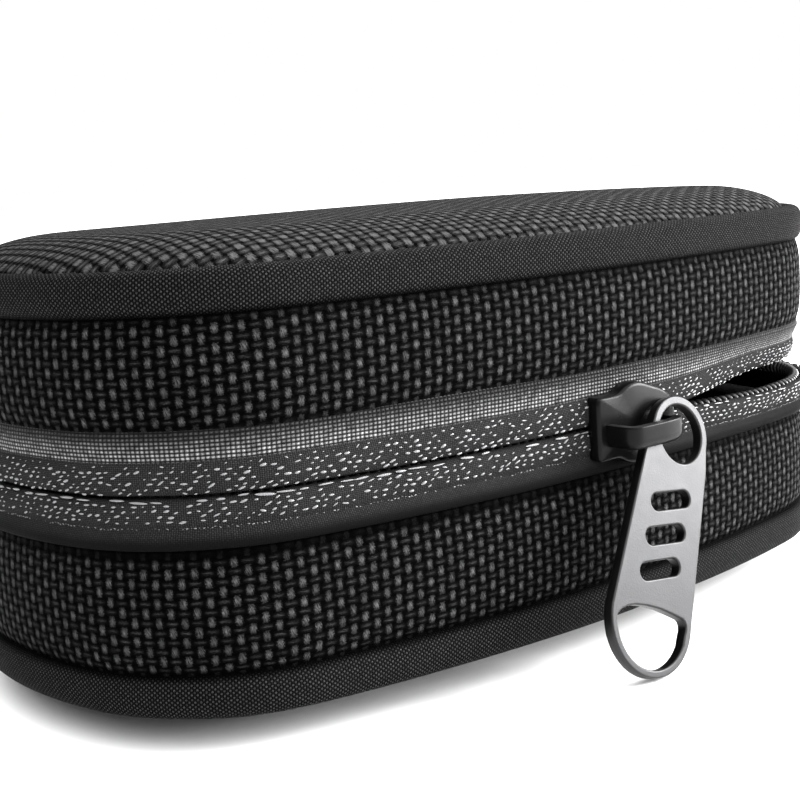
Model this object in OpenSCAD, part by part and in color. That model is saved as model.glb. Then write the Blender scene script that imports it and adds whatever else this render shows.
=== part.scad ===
// Zipped hard-shell headphone case: base tray, hinged lid, zip with slider and pull tab.
// Frame: origin at the middle of the resting face, +X along the long side,
// -Y the front with the zip slider, +Y the back with the fabric hinge, +Z up. Units are mm.

/* [Plan outline] */
// Half length of the wall's outer face along X
half_len = 60; // [45:0.5:80]
// Half depth of the wall's outer face along Y
half_dep = 35; // [25:0.5:50]
// Radius of the four corners
corner_r = 24; // [14:0.5:30]
// How far the front and back bow outwards over the half length
side_bow = 9; // [3:0.5:12]
// How far the two ends bow outwards over the half depth
end_bow = 14.5; // [5:0.5:18]

/* [Heights] */
// Height from the lower edge of the bottom binding to the upper edge of the top one
body_h = 46.2; // [36:0.2:60]
// Rise of each padded panel beyond its binding
dome_rise = 3.8; // [1:0.2:6]
// Height of the zip's centre above the lower edge of the bottom binding
zip_up = 23.4; // [16:0.2:30]
// Height of each edge binding
binding_h = 4.7; // [3:0.1:7]

/* [Shell layers] */
// Thickness of the outer woven fabric
fabric_t = 0.8; // [0.4:0.1:1.5]
// Thickness of the foam inside the wall
foam_t = 2.5; // [1:0.1:4]
// Thickness of the lining cloth
lining_t = 0.5; // [0.3:0.1:1]
// Clearance between neighbouring layers
layer_gap = 0.1; // [0.05:0.05:0.2]
// Inset of the panels from the wall's outer face
panel_in = 2.5; // [2:0.1:4]
// Inset at which the padded panel reaches its flat middle
plateau_in = 16; // [10:0.5:20]

/* [Zip] */
// Gap between the two half chains
chain_gap = 0.9; // [0.6:0.1:1.4]
// Height of each tape's sewn ridge
ridge_h = 3.2; // [2:0.1:4]
// Height of the lid's flat tape strip above its ridge
strip_h = 2.9; // [2:0.1:4]
// Height of the base tape's rolled lip below its ridge
lip_h = 1.7; // [1:0.1:3]
// Half length of the cloth hinge between the two zip ends
hinge_half = 28; // [18:1:36]

/* [Slider] */
// Distance of the slider's middle from the case's middle, along X
slider_x = 3.9; // [-30:0.1:28]
// Length of the slider from its flat tail to its nose
slider_len = 13.4; // [10:0.1:16]
// Half height of the slider at its shoulder
slider_half_h = 4.5; // [3.5:0.1:5]
// Half height of the slider at its tail
tail_half_h = 3.7; // [3:0.1:4.5]
// Height of the bridge strap
bridge_h = 2.7; // [2:0.1:3.5]
// Thickness of the bridge strap
bridge_t = 1.1; // [0.8:0.1:1.6]

/* [Pull tab] */
// Outer radius of the ring at the top of the tab
ring_r = 4.6; // [3.5:0.05:5]
// Radius of the ring's hole
ring_hole_r = 3.55; // [2.5:0.05:3.8]
// Half width of the tab at its rounded end
tab_half_w = 6.45; // [4:0.05:7]
// Distance from the ring's centre to the centre of the rounded end
tab_reach = 22.8; // [18:0.1:30]
// Thickness of the tab
tab_t = 1.4; // [1:0.1:2]
// Angle the tab has swung sideways from hanging straight down
tab_swing = 32; // [0:1:60]
// Angle the tab leans outwards from the wall
tab_lean = 15; // [0:1:16]
// Radius of the rounded opening in the tab's end
tab_eye_r = 5.55; // [3:0.05:6]

/* [Hidden] */
base_z = dome_rise;
zip_z = base_z + zip_up;
top_z = base_z + body_h;
wall_in = 0.2;
wall_back = wall_in + fabric_t;
foam_out = wall_back + layer_gap;
foam_in = foam_out + foam_t;
lining_out = foam_in + layer_gap;
lining_in = lining_out + lining_t;
binding_out = 0.4;
binding_in = panel_in - layer_gap;
half_gap = chain_gap / 2;
// the walls stop short of the zip so that the slider's inner plate has room
inner_stop = 5.3;
lip_z = zip_z - half_gap - ridge_h - lip_h;
strip_z = zip_z + half_gap + ridge_h + strip_h;
tray_floor = base_z + 3.2;
tray_ceil = top_z - 3.2;
board_t = 1.2;
end_tab_w = 6;
end_tab_in = 0.4;
end_tab_out = 0.9;
inner_tape_w = 2;
inner_tape_h = 2.4;

// plan arcs: long sides, ends and corners meet at a common tangent
side_r = (half_len * half_len + side_bow * side_bow) / (2 * side_bow);
end_r = (half_dep * half_dep + end_bow * end_bow) / (2 * end_bow);
side_c = [0, side_r - half_dep];
end_c = [half_len - end_r, 0];
side_gap_r = side_r - corner_r;
end_gap_r = end_r - corner_r;
centre_d = norm(end_c - side_c);
centre_u = (end_c - side_c) / centre_d;
centre_a = (side_gap_r * side_gap_r - end_gap_r * end_gap_r + centre_d * centre_d) / (2 * centre_d);
centre_h = sqrt(side_gap_r * side_gap_r - centre_a * centre_a);
corner_c = side_c + centre_a * centre_u + centre_h * [-centre_u[1], centre_u[0]];
cx = corner_c[0];
cy = -corner_c[1];
side_turn = atan2(cx, side_c[1] + cy);
end_turn = atan2(cy, cx - end_c[0]);
side_steps = 20;
corner_steps = 9;
end_steps = 12;

slider_turn = asin(slider_x / side_r);
plate_out0 = 0.75;
plate_out1 = 1.55;
plate_in0 = 4.4;
plate_in1 = 3.4;
pull_plane = 3.6;
pull_along = 4.3;
bridge_end = 3.85;
neck_half_w = 5.15;
neck_drop = 3;
eye_side = -0.216 * tab_eye_r;
eye_brow = [for (p = [[-0.974, -0.225], [0.974, -0.225], [0.99, 0.11], [0.85, 0.29], [0.18, 0.29],
    [-0.52, 0.16], [-0.88, -0.04]]) p * tab_eye_r];
bridge_top = 0.5;
tab_drop = tab_reach * cos(tab_swing) * cos(tab_lean) + tab_half_w * cos(tab_lean)
    + tab_t / 2 * sin(tab_lean);
table_gap = 0.05;
pull_z = tab_drop + table_gap;
slot_r = 1;
slot_step = 4.2;
slot_half = 2.3;
slot_start = 8.4;
slot_tilt = 25;

function arc(c, r, t0, t1, n) =
    [for (i = [0:n - 1]) let (t = t0 + (t1 - t0) * i / n) c + r * [cos(t), sin(t)]];

// closed outline moved outwards by d; every arc keeps its centre
function outline(d) = concat(
    arc([0, side_c[1]], side_r + d, -90 - side_turn, -90 + side_turn, side_steps),
    arc([cx, -cy], corner_r + d, -90 + side_turn, -end_turn, corner_steps),
    arc([end_c[0], 0], end_r + d, -end_turn, end_turn, end_steps),
    arc([cx, cy], corner_r + d, end_turn, 90 - side_turn, corner_steps),
    arc([0, -side_c[1]], side_r + d, 90 - side_turn, 90 + side_turn, side_steps),
    arc([-cx, cy], corner_r + d, 90 + side_turn, 180 - end_turn, corner_steps),
    arc([-end_c[0], 0], end_r + d, 180 - end_turn, 180 + end_turn, end_steps),
    arc([-cx, -cy], corner_r + d, 180 + end_turn, 270 - side_turn, corner_steps));

ring_n = len(outline(0));

// flat plate filling the outline inset by "inset", between two heights
module plate(inset, z0, z1) {
    translate([0, 0, z0]) linear_extrude(z1 - z0) polygon(outline(-inset));
}

// upright wall between two insets and two heights
module wall(out, in, z0, z1) {
    translate([0, 0, z0]) linear_extrude(z1 - z0) difference() {
        polygon(outline(-out));
        polygon(outline(-in));
    }
}

// section [[offset, height], ...] carried round the whole outline;
// the section runs anticlockwise seen with the offset to the right and height up
module swept(section) {
    m = len(section);
    points = [for (s = section, p = outline(s[0])) [p[0], p[1], s[1]]];
    polyhedron(points, [for (j = [0:m - 1], i = [0:ring_n - 1])
        let (k = (j + 1) % m, q = (i + 1) % ring_n)
        [j * ring_n + i, k * ring_n + i, k * ring_n + q, j * ring_n + q]], convexity = 6);
}

// section that starts and ends on flat middles, closed there by two caps
module cushion(section) {
    m = len(section);
    points = [for (s = section, p = outline(s[0])) [p[0], p[1], s[1]]];
    sides = [for (j = [0:m - 2], i = [0:ring_n - 1])
        let (q = (i + 1) % ring_n)
        [j * ring_n + i, (j + 1) * ring_n + i, (j + 1) * ring_n + q, j * ring_n + q]];
    first = [for (i = [0:ring_n - 1]) i];
    last = [for (i = [ring_n - 1:-1:0]) (m - 1) * ring_n + i];
    polyhedron(points, concat(sides, [first, last]), convexity = 4);
}

// height of the padded panel's outer face at an inset, above its binding
function swell(inset) = let (u = min(1, (inset - panel_in) / (plateau_in - panel_in)))
    0.6 + (dome_rise - 0.6) * sin(90 * u);

panel_insets = [for (i = [0:6]) panel_in + (plateau_in - panel_in) * i / 6];

// panel skin of the given thickness lying "depth" under the swell
module skin_up(depth, t) {
    cushion(concat(
        [for (i = [0:6]) [-panel_insets[6 - i], swell(panel_insets[6 - i]) - depth - t]],
        [for (i = [0:6]) [-panel_insets[i], swell(panel_insets[i]) - depth]]));
}

// foam that fills from a flat underside up to just below the skin
module filling_up(depth, low) {
    cushion(concat([[-panel_in, low]],
        [for (i = [0:6]) [-panel_insets[i], swell(panel_insets[i]) - depth]]));
}

function binding_section(z0) = [
    [-binding_in, z0 + 0.5], [-binding_in + 0.4, z0], [-0.5, z0], [0.1, z0 + 0.5],
    [binding_out, z0 + binding_h * 0.3], [binding_out, z0 + binding_h * 0.7],
    [0.1, z0 + binding_h - 0.5], [-0.5, z0 + binding_h], [-binding_in + 0.4, z0 + binding_h],
    [-binding_in, z0 + binding_h - 0.5]];

module keep_round_zip() {
    difference() {
        children();
        translate([-hinge_half, 0, 0]) cube([2 * hinge_half, 2 * half_dep, 2 * top_z]);
    }
}

module keep_hinge(side_gap) {
    intersection() {
        children();
        translate([-hinge_half + side_gap, 0, 0])
            cube([2 * (hinge_half - side_gap), 2 * half_dep, 2 * top_z]);
    }
}

black = [0.05, 0.05, 0.055];
grey = [0.2, 0.2, 0.21];
steel = [0.45, 0.45, 0.46];

// padded skin under the case; its flat middle is the resting face
module base_bottom_panel() {
    color(black) translate([0, 0, base_z]) mirror([0, 0, 1]) skin_up(0, fabric_t);
}

module base_bottom_foam() {
    color(grey) translate([0, 0, base_z]) mirror([0, 0, 1])
        filling_up(fabric_t + layer_gap, -(tray_floor - base_z - board_t - 2 * layer_gap - lining_t));
}

module base_bottom_board() {
    color(grey) plate(panel_in, tray_floor - lining_t - layer_gap - board_t,
        tray_floor - lining_t - layer_gap);
}

module base_bottom_lining() {
    color(grey) plate(lining_out, tray_floor - lining_t, tray_floor);
}

module base_wall_fabric() {
    color(black) wall(wall_in, wall_back, base_z + binding_h + layer_gap, lip_z - layer_gap);
}

module base_wall_foam() {
    color(grey) wall(foam_out, foam_in, base_z + binding_h + layer_gap, lip_z - layer_gap);
}

module base_wall_lining() {
    color(grey) wall(lining_out, lining_in, tray_floor + layer_gap, zip_z - inner_stop);
}

module base_binding() {
    color(black) swept(binding_section(base_z));
}

function inner_tape_section(z0) = [
    [-lining_in - inner_tape_w, z0 + 0.4], [-lining_in - inner_tape_w + 0.4, z0],
    [-lining_in - layer_gap, z0], [-lining_in - layer_gap, z0 + inner_tape_h],
    [-lining_in - 0.8, z0 + inner_tape_h], [-lining_in - inner_tape_w, z0 + inner_tape_h - 0.9]];

module base_inner_binding() {
    color(black) swept(inner_tape_section(tray_floor + layer_gap));
}

// sewn ridge beside the coil, then the rolled lip that overhangs the lower wall
module base_zip_tape() {
    z = zip_z - half_gap;
    color(black) keep_round_zip() swept([
        [-1.5, lip_z], [0, lip_z], [0.35, lip_z + 0.4], [0.35, lip_z + 1],
        [-0.1, lip_z + lip_h - 0.2], [-0.45, lip_z + lip_h], [-0.15, z - ridge_h + 0.6],
        [-0.1, z - ridge_h / 2], [-0.3, z - 0.5], [-0.75, z], [-1.5, z]]);
}

module base_zip_coil() {
    z = zip_z - half_gap;
    color(black) keep_round_zip() swept([
        [-2.9, z - 1.6], [-2.4, z - 2.1], [-1.6, z - 2.1], [-1.6, z], [-2.4, z], [-2.9, z - 0.5]]);
}

// stitched cloth tabs that close off the two ends of the zip
module zip_end_tabs() {
    color(black) intersection() {
        wall(-end_tab_out, -end_tab_in, lip_z, zip_z - half_gap);
        for (s = [-1, 1]) translate([s * (hinge_half + 4) - end_tab_w / 2, 0, 0])
            cube([end_tab_w, 2 * half_dep, top_z]);
    }
}

// outer cloth of the hinge, from wall to wall across the back
module hinge_strip() {
    color(black) keep_hinge(0.3) wall(wall_in, wall_back, lip_z, strip_z);
}

module hinge_lining() {
    color(grey) keep_hinge(0.3)
        wall(lining_out, lining_in, zip_z - inner_stop + layer_gap, zip_z + inner_stop - layer_gap);
}

module lid_top_panel() {
    color(black) translate([0, 0, top_z]) skin_up(0, fabric_t);
}

module lid_top_foam() {
    color(grey) translate([0, 0, top_z])
        filling_up(fabric_t + layer_gap, -(top_z - tray_ceil - board_t - 2 * layer_gap - lining_t));
}

module lid_top_board() {
    color(grey) plate(panel_in, tray_ceil + lining_t + layer_gap,
        tray_ceil + lining_t + layer_gap + board_t);
}

module lid_top_lining() {
    color(grey) plate(lining_out, tray_ceil, tray_ceil + lining_t);
}

module lid_wall_fabric() {
    color(black) wall(wall_in, wall_back, strip_z + layer_gap, top_z - binding_h - layer_gap);
}

module lid_wall_foam() {
    color(grey) wall(foam_out, foam_in, zip_z + inner_stop, top_z - binding_h - layer_gap);
}

module lid_wall_lining() {
    color(grey) wall(lining_out, lining_in, zip_z + inner_stop, tray_ceil - layer_gap);
}

module lid_binding() {
    color(black) swept(binding_section(top_z - binding_h));
}

module lid_inner_binding() {
    color(black) translate([0, 0, tray_ceil]) mirror([0, 0, 1])
        swept(inner_tape_section(layer_gap));
}

// sewn ridge beside the coil, then the flat strip up to the lid's wall cloth
module lid_zip_tape() {
    z = zip_z + half_gap;
    color(black) keep_round_zip() swept([
        [-1.5, z], [-0.75, z], [-0.3, z + 0.5], [-0.1, z + ridge_h / 2], [-0.15, z + ridge_h - 0.6],
        [-0.45, z + ridge_h], [-0.3, z + ridge_h + 0.4], [-0.3, strip_z], [-1, strip_z],
        [-1, z + ridge_h + 0.4], [-1.5, z + ridge_h]]);
}

module lid_zip_coil() {
    z = zip_z + half_gap;
    color(black) keep_round_zip() swept([
        [-2.9, z + 0.5], [-2.4, z], [-1.6, z], [-1.6, z + 2.1], [-2.4, z + 2.1], [-2.9, z + 1.6]]);
}

pocket_edge = -9;
pocket_t = 0.5;
pocket_z = tray_ceil - inner_tape_h - 2 * layer_gap - pocket_t;
elastic_w = 5;
elastic_t = 1.1;

// net across the back part of the lid, sewn into the lid's inner seam
module mesh_pocket() {
    color(grey) intersection() {
        plate(lining_in + layer_gap, pocket_z, pocket_z + pocket_t);
        translate([-half_len, pocket_edge, 0]) cube([2 * half_len, 2 * half_dep, top_z]);
    }
}

module pocket_elastic() {
    color(black) intersection() {
        plate(lining_in + layer_gap, pocket_z - elastic_t - layer_gap, pocket_z - layer_gap);
        translate([-half_len, pocket_edge, 0]) cube([2 * half_len, elastic_w, top_z]);
    }
}

// places children, drawn round the front arc's centre, at the slider's spot
module at_slider() {
    translate([0, side_c[1], 0]) rotate([0, 0, slider_turn]) translate([0, -side_c[1], 0]) children();
}

// part of the ring between two offsets from the front face, between two heights
module front_shell(r0, r1, z0, z1) {
    translate([0, side_c[1], z0]) difference() {
        cylinder(r = side_r + r1, h = z1 - z0, $fn = 360);
        translate([0, 0, -1]) cylinder(r = side_r + r0, h = z1 - z0 + 2, $fn = 360);
    }
}

tail_x = -slider_len / 2;
nose_x = slider_len / 2;

// shape of the slider's plates seen from the front: flat tail, shoulder, tapering nose
function slider_face(s) = [
    [tail_x, -tail_half_h * s], [-2.6, -tail_half_h * s], [-0.6, -slider_half_h * s],
    [1.8, -slider_half_h * s], [4.6, -(slider_half_h - 0.8) * s], [nose_x, -1.8 * s],
    [nose_x, 1.8 * s], [4.6, (slider_half_h - 0.8) * s], [1.8, slider_half_h * s],
    [-0.6, slider_half_h * s], [-2.6, tail_half_h * s], [tail_x, tail_half_h * s]];

module slider_body() {
    color(grey) at_slider() {
        intersection() {
            translate([0, 0, zip_z]) rotate([90, 0, 0]) linear_extrude(2 * half_dep)
                polygon(slider_face(1));
            union() {
                front_shell(plate_out0, plate_out1, zip_z - 6, zip_z + 6);
                front_shell(-plate_in0, -plate_in1, zip_z - 6, zip_z + 6);
            }
        }
        // wedge post between the two half chains, joining the plates at the open end
        intersection() {
            translate([3.2, -half_dep - 3, zip_z - 0.25]) cube([3, 9, 0.5]);
            front_shell(-plate_in1 - 0.2, plate_out0 + 0.2, zip_z - 1, zip_z + 1);
        }
    }
}

// strap that stands off the outer plate and carries the pull tab's ring
module slider_bridge() {
    foot = plate_out1 + 0.02;
    rise = pull_plane + tab_t / 2 + 0.35;
    crown = rise + bridge_t;
    left = tail_x + 1.1;
    color(grey) at_slider() translate([0, -half_dep, zip_z + bridge_top - bridge_h])
        linear_extrude(bridge_h) scale([1, -1]) polygon([
            [left, foot], [left, crown - 1.2], [left + 0.5, crown - 0.4], [left + 1.5, crown],
            [bridge_end - 1.3, crown], [bridge_end - 0.35, crown - 0.45], [bridge_end, crown - 1.2],
            [bridge_end, foot], [bridge_end - bridge_t, foot], [bridge_end - bridge_t, rise - 0.6],
            [bridge_end - bridge_t - 0.5, rise], [left + bridge_t + 0.5, rise],
            [left + bridge_t, rise - 0.6], [left + bridge_t, foot]]);
}

// tab seen face on: ring at the origin, body below it along -Y
module tab_face() {
    difference() {
        union() {
            circle(r = ring_r, $fn = 64);
            translate([0, -tab_reach]) circle(r = tab_half_w, $fn = 64);
            polygon([[-ring_r, 0], [-neck_half_w, -neck_drop], [-tab_half_w, -tab_reach],
                [tab_half_w, -tab_reach], [neck_half_w, -neck_drop], [ring_r, 0]]);
        }
        circle(r = ring_hole_r, $fn = 64);
        translate([0, -tab_reach]) {
            difference() {
                circle(r = tab_eye_r, $fn = 48);
                translate([-tab_half_w, eye_side]) square(2 * tab_half_w);
            }
            polygon(eye_brow);
        }
        for (i = [0:2]) translate([0, -slot_start - slot_step * i]) rotate(slot_tilt) {
            square([2 * slot_half, 2 * slot_r], center = true);
            for (s = [-1, 1]) translate([s * slot_half, 0]) circle(r = slot_r, $fn = 24);
        }
    }
}

module pull_tab() {
    color(steel) at_slider() translate([pull_along, -half_dep - pull_plane, pull_z])
        rotate([-tab_lean, 0, 0]) rotate([90, 0, 0]) rotate([0, 0, -tab_swing])
            linear_extrude(tab_t, center = true) tab_face();
}

base_bottom_panel();
base_bottom_foam();
base_bottom_board();
base_bottom_lining();
base_wall_fabric();
base_wall_foam();
base_wall_lining();
base_binding();
base_inner_binding();
base_zip_tape();
base_zip_coil();
zip_end_tabs();
hinge_strip();
hinge_lining();
lid_top_panel();
lid_top_foam();
lid_top_board();
lid_top_lining();
lid_wall_fabric();
lid_wall_foam();
lid_wall_lining();
lid_binding();
lid_inner_binding();
lid_zip_tape();
lid_zip_coil();
mesh_pocket();
pocket_elastic();
slider_body();
slider_bridge();
pull_tab();
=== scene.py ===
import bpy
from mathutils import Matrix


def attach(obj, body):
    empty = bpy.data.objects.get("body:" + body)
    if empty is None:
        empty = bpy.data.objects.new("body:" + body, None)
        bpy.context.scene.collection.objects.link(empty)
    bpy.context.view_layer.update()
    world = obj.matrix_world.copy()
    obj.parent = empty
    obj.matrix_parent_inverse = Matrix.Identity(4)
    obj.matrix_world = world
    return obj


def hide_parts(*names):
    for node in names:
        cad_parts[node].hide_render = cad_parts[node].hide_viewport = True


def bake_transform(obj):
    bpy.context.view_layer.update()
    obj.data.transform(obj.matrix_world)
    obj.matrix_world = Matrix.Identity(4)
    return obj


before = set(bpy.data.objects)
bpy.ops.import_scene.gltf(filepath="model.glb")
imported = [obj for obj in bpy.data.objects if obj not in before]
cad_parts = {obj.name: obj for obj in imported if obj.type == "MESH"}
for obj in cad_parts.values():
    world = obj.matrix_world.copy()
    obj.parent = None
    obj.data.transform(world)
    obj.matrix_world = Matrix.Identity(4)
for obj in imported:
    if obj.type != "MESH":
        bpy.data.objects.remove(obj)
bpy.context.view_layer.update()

import math
import bpy
import numpy as np
from mathutils import Matrix, Vector
from mathutils.geometry import tessellate_polygon

# ---------------------------------------------------------------------------
# Studio: a pale table under a white room, with one large soft light to the
# front right, a wide sun from above, and the camera low at the left front corner.
# ---------------------------------------------------------------------------
MM = 0.001
stand_mm = 3.8          # the padded underside lifts the binding off the table
camera_at = np.array([-118.0, -146.0, 54.0 + stand_mm]) * MM
camera_yaw, camera_pitch, camera_roll = map(math.radians, (38.31, 9.2, -3.69))
camera_lens, sensor = 63.0, 36.0


def look_axes(yaw, pitch, roll):
    """Right, up and back axes of a camera turned yaw clockwise from +Y, pitched down, then rolled."""
    ahead = np.array([math.sin(yaw) * math.cos(pitch), math.cos(yaw) * math.cos(pitch), -math.sin(pitch)])
    right = np.array([math.cos(yaw), -math.sin(yaw), 0.0])
    up = np.cross(right, ahead)
    turned_right = math.cos(roll) * right + math.sin(roll) * up
    turned_up = math.cos(roll) * up - math.sin(roll) * right
    return turned_right, turned_up, -ahead


camera_data = bpy.data.cameras.new("studio_camera")
camera_data.lens = camera_lens
camera_data.sensor_width = sensor
camera_data.clip_start = 0.01
camera_data.dof.use_dof = False
camera = bpy.data.objects.new("studio_camera", camera_data)
camera_matrix = np.eye(4)
camera_matrix[:3, :3] = np.array(look_axes(camera_yaw, camera_pitch, camera_roll)).T
camera_matrix[:3, 3] = camera_at
camera.matrix_world = Matrix(camera_matrix.tolist())
bpy.context.scene.collection.objects.link(camera)
bpy.context.scene.camera = camera

world = bpy.data.worlds.new("white_room")
world.use_nodes = True
world.node_tree.nodes["Background"].inputs["Color"].default_value = (1.0, 1.0, 1.0, 1.0)
room_light = world.node_tree.nodes.new("ShaderNodeLightPath")
room_level = world.node_tree.nodes.new("ShaderNodeMapRange")
room_level.inputs["To Min"].default_value = 0.22
room_level.inputs["To Max"].default_value = 1.0
world.node_tree.links.new(room_light.outputs["Is Camera Ray"], room_level.inputs["Value"])
world.node_tree.links.new(room_level.outputs["Result"], world.node_tree.nodes["Background"].inputs["Strength"])
bpy.context.scene.world = world
bpy.context.scene.view_settings.view_transform = "Standard"


def soft_light(name, spot, aim, wide, tall, watts):
    """Rectangular area light at spot, facing the point aim."""
    data = bpy.data.lights.new(name, "AREA")
    data.shape = "RECTANGLE"
    data.size, data.size_y, data.energy = wide, tall, watts
    light = bpy.data.objects.new(name, data)
    back = np.array(spot) - np.array(aim)
    back = back / np.linalg.norm(back)
    side = np.cross([0.0, 0.0, 1.0], back)
    side = side / np.linalg.norm(side)
    matrix = np.eye(4)
    matrix[:3, :3] = np.array([side, np.cross(back, side), back]).T
    matrix[:3, 3] = spot
    light.matrix_world = Matrix(matrix.tolist())
    bpy.context.scene.collection.objects.link(light)


soft_light("right_window", (0.60, -0.40, 0.24), (0.0, 0.0, 0.02), 0.36, 0.36, 17.0)
sky_panel = bpy.data.lights.new("sky_panel", "SUN")
sky_panel.energy = 9.0
sky_panel.angle = math.radians(135)
sky = bpy.data.objects.new("sky_panel", sky_panel)
sky.rotation_euler = (math.radians(14), math.radians(14), 0)
bpy.context.scene.collection.objects.link(sky)

table_mesh = bpy.data.meshes.new("table_top")
reach = 6.0
table_mesh.from_pydata([(-reach, -reach, 0), (reach, -reach, 0), (reach, reach, 0), (-reach, reach, 0)],
                       [], [(0, 1, 2, 3)])
table_top = bpy.data.objects.new("table_top", table_mesh)
bpy.context.scene.collection.objects.link(table_top)
table_paint = bpy.data.materials.new("white_table")
table_paint.use_nodes = True
table_shader = table_paint.node_tree.nodes["Principled BSDF"]
table_shader.inputs["Base Color"].default_value = (0.93, 0.93, 0.93, 1.0)
table_shader.inputs["Roughness"].default_value = 0.6
table_shader.inputs["Specular IOR Level"].default_value = 0.2
table_mesh.materials.append(table_paint)

# ---------------------------------------------------------------------------
# Lower wall: coarse ballistic nylon over foam, sewn between the edge binding
# and the zip tape. The cloth bulges a little between its two seams.
# ---------------------------------------------------------------------------
half_len, half_dep, corner_r, side_bow, end_bow = 60.0, 35.0, 24.0, 9.0, 14.5
base_z, zip_z, top_z = stand_mm, stand_mm + 23.4, stand_mm + 46.2
side_r = (half_len ** 2 + side_bow ** 2) / (2 * side_bow)
end_r = (half_dep ** 2 + end_bow ** 2) / (2 * end_bow)
side_cy = side_r - half_dep
end_cx = half_len - end_r


def corner_centre():
    """Centre of the front right corner arc, tangent inside both the side arc and the end arc."""
    a, b = np.array([0.0, side_cy]), np.array([end_cx, 0.0])
    ra, rb = side_r - corner_r, end_r - corner_r
    d = np.linalg.norm(b - a)
    e = (b - a) / d
    along = (ra ** 2 - rb ** 2 + d ** 2) / (2 * d)
    out = math.sqrt(ra ** 2 - along ** 2)
    return a + along * e + out * np.array([-e[1], e[0]])


corner_x, corner_y = corner_centre()[0], -corner_centre()[1]
side_turn = math.atan2(corner_x, side_cy + corner_y)
end_turn = math.atan2(corner_y, corner_x - end_cx)
quarter = math.pi / 2
# arcs anticlockwise from the middle of the back: centre x, centre y, radius, first and last angle
plan_arcs = np.array([
    (0, -side_cy, side_r, quarter, quarter + side_turn),
    (-corner_x, corner_y, corner_r, quarter + side_turn, 2 * quarter - end_turn),
    (-end_cx, 0, end_r, 2 * quarter - end_turn, 2 * quarter + end_turn),
    (-corner_x, -corner_y, corner_r, 2 * quarter + end_turn, 3 * quarter - side_turn),
    (0, side_cy, side_r, 3 * quarter - side_turn, 3 * quarter + side_turn),
    (corner_x, -corner_y, corner_r, 3 * quarter + side_turn, 4 * quarter - end_turn),
    (end_cx, 0, end_r, 4 * quarter - end_turn, 4 * quarter + end_turn),
    (corner_x, corner_y, corner_r, 4 * quarter + end_turn, 5 * quarter - side_turn),
    (0, -side_cy, side_r, 5 * quarter - side_turn, 5 * quarter)])
arc_ends = np.concatenate([[0.0], np.cumsum(plan_arcs[:, 2] * (plan_arcs[:, 4] - plan_arcs[:, 3]))])
girth = arc_ends[-1]


def around(s):
    """Arc centre, arc radius and outward direction at lengths s along the outline, from the back's middle."""
    k = np.clip(np.searchsorted(arc_ends, s, side="right") - 1, 0, len(plan_arcs) - 1)
    arc = plan_arcs[k]
    angle = arc[:, 3] + (s - arc_ends[k]) / arc[:, 2]
    return arc[:, :2], arc[:, 2], np.stack([np.cos(angle), np.sin(angle)], 1)


def plan_points(s, offset):
    """x and y on the outline at lengths s, moved outwards by offset (one column of offsets per s)."""
    centre, radius, outward = around(s)
    return centre[:, None] + (radius[:, None] + offset)[..., None] * outward[:, None]


def rounded(section, rounds=2):
    """Closed section with its corners cut at a quarter and three quarters of each side, rounds times."""
    section = np.array(section, float)
    for _ in range(rounds):
        after = np.roll(section, -1, axis=0)
        section = np.stack([0.75 * section + 0.25 * after, 0.25 * section + 0.75 * after], 1).reshape(-1, 2)
    return section


def add_piece(name, points, quads, uvs, finish, picks=None):
    """Mesh object from an array of points in mm, an array of quads and one uv (in metres) per corner."""
    mesh = bpy.data.meshes.new(name)
    mesh.vertices.add(len(points))
    mesh.vertices.foreach_set("co", (points * MM).astype(np.float32).ravel())
    mesh.loops.add(quads.size)
    mesh.loops.foreach_set("vertex_index", quads.astype(np.int32).ravel())
    mesh.polygons.add(len(quads))
    mesh.polygons.foreach_set("loop_start", np.arange(0, quads.size, quads.shape[1], dtype=np.int32))
    mesh.update(calc_edges=True)
    mesh.validate()
    if uvs is not None:
        layer = mesh.uv_layers.new(name="cloth")
        layer.data.foreach_set("uv", uvs.astype(np.float32).ravel())
    mesh.polygons.foreach_set("use_smooth", np.ones(len(mesh.polygons), dtype=bool))
    piece = bpy.data.objects.new(name, mesh)
    bpy.context.scene.collection.objects.link(piece)
    for one in (finish if isinstance(finish, list) else [finish]):
        mesh.materials.append(one)
    if picks is not None:
        mesh.polygons.foreach_set("material_index", picks.astype(np.int32))
    return piece


def grid_quads(rows, cols, close_rows, close_cols):
    """Corner indices of the quads of a rows by cols grid, closed on itself where asked."""
    i = np.arange(rows if close_rows else rows - 1)
    j = np.arange(cols if close_cols else cols - 1)
    i, j = [a.ravel() for a in np.meshgrid(i, j, indexing="ij")]
    i2, j2 = (i + 1) % rows, (j + 1) % cols
    return np.stack([i * cols + j, i2 * cols + j, i2 * cols + j2, i * cols + j2], 1), i, j


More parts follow.
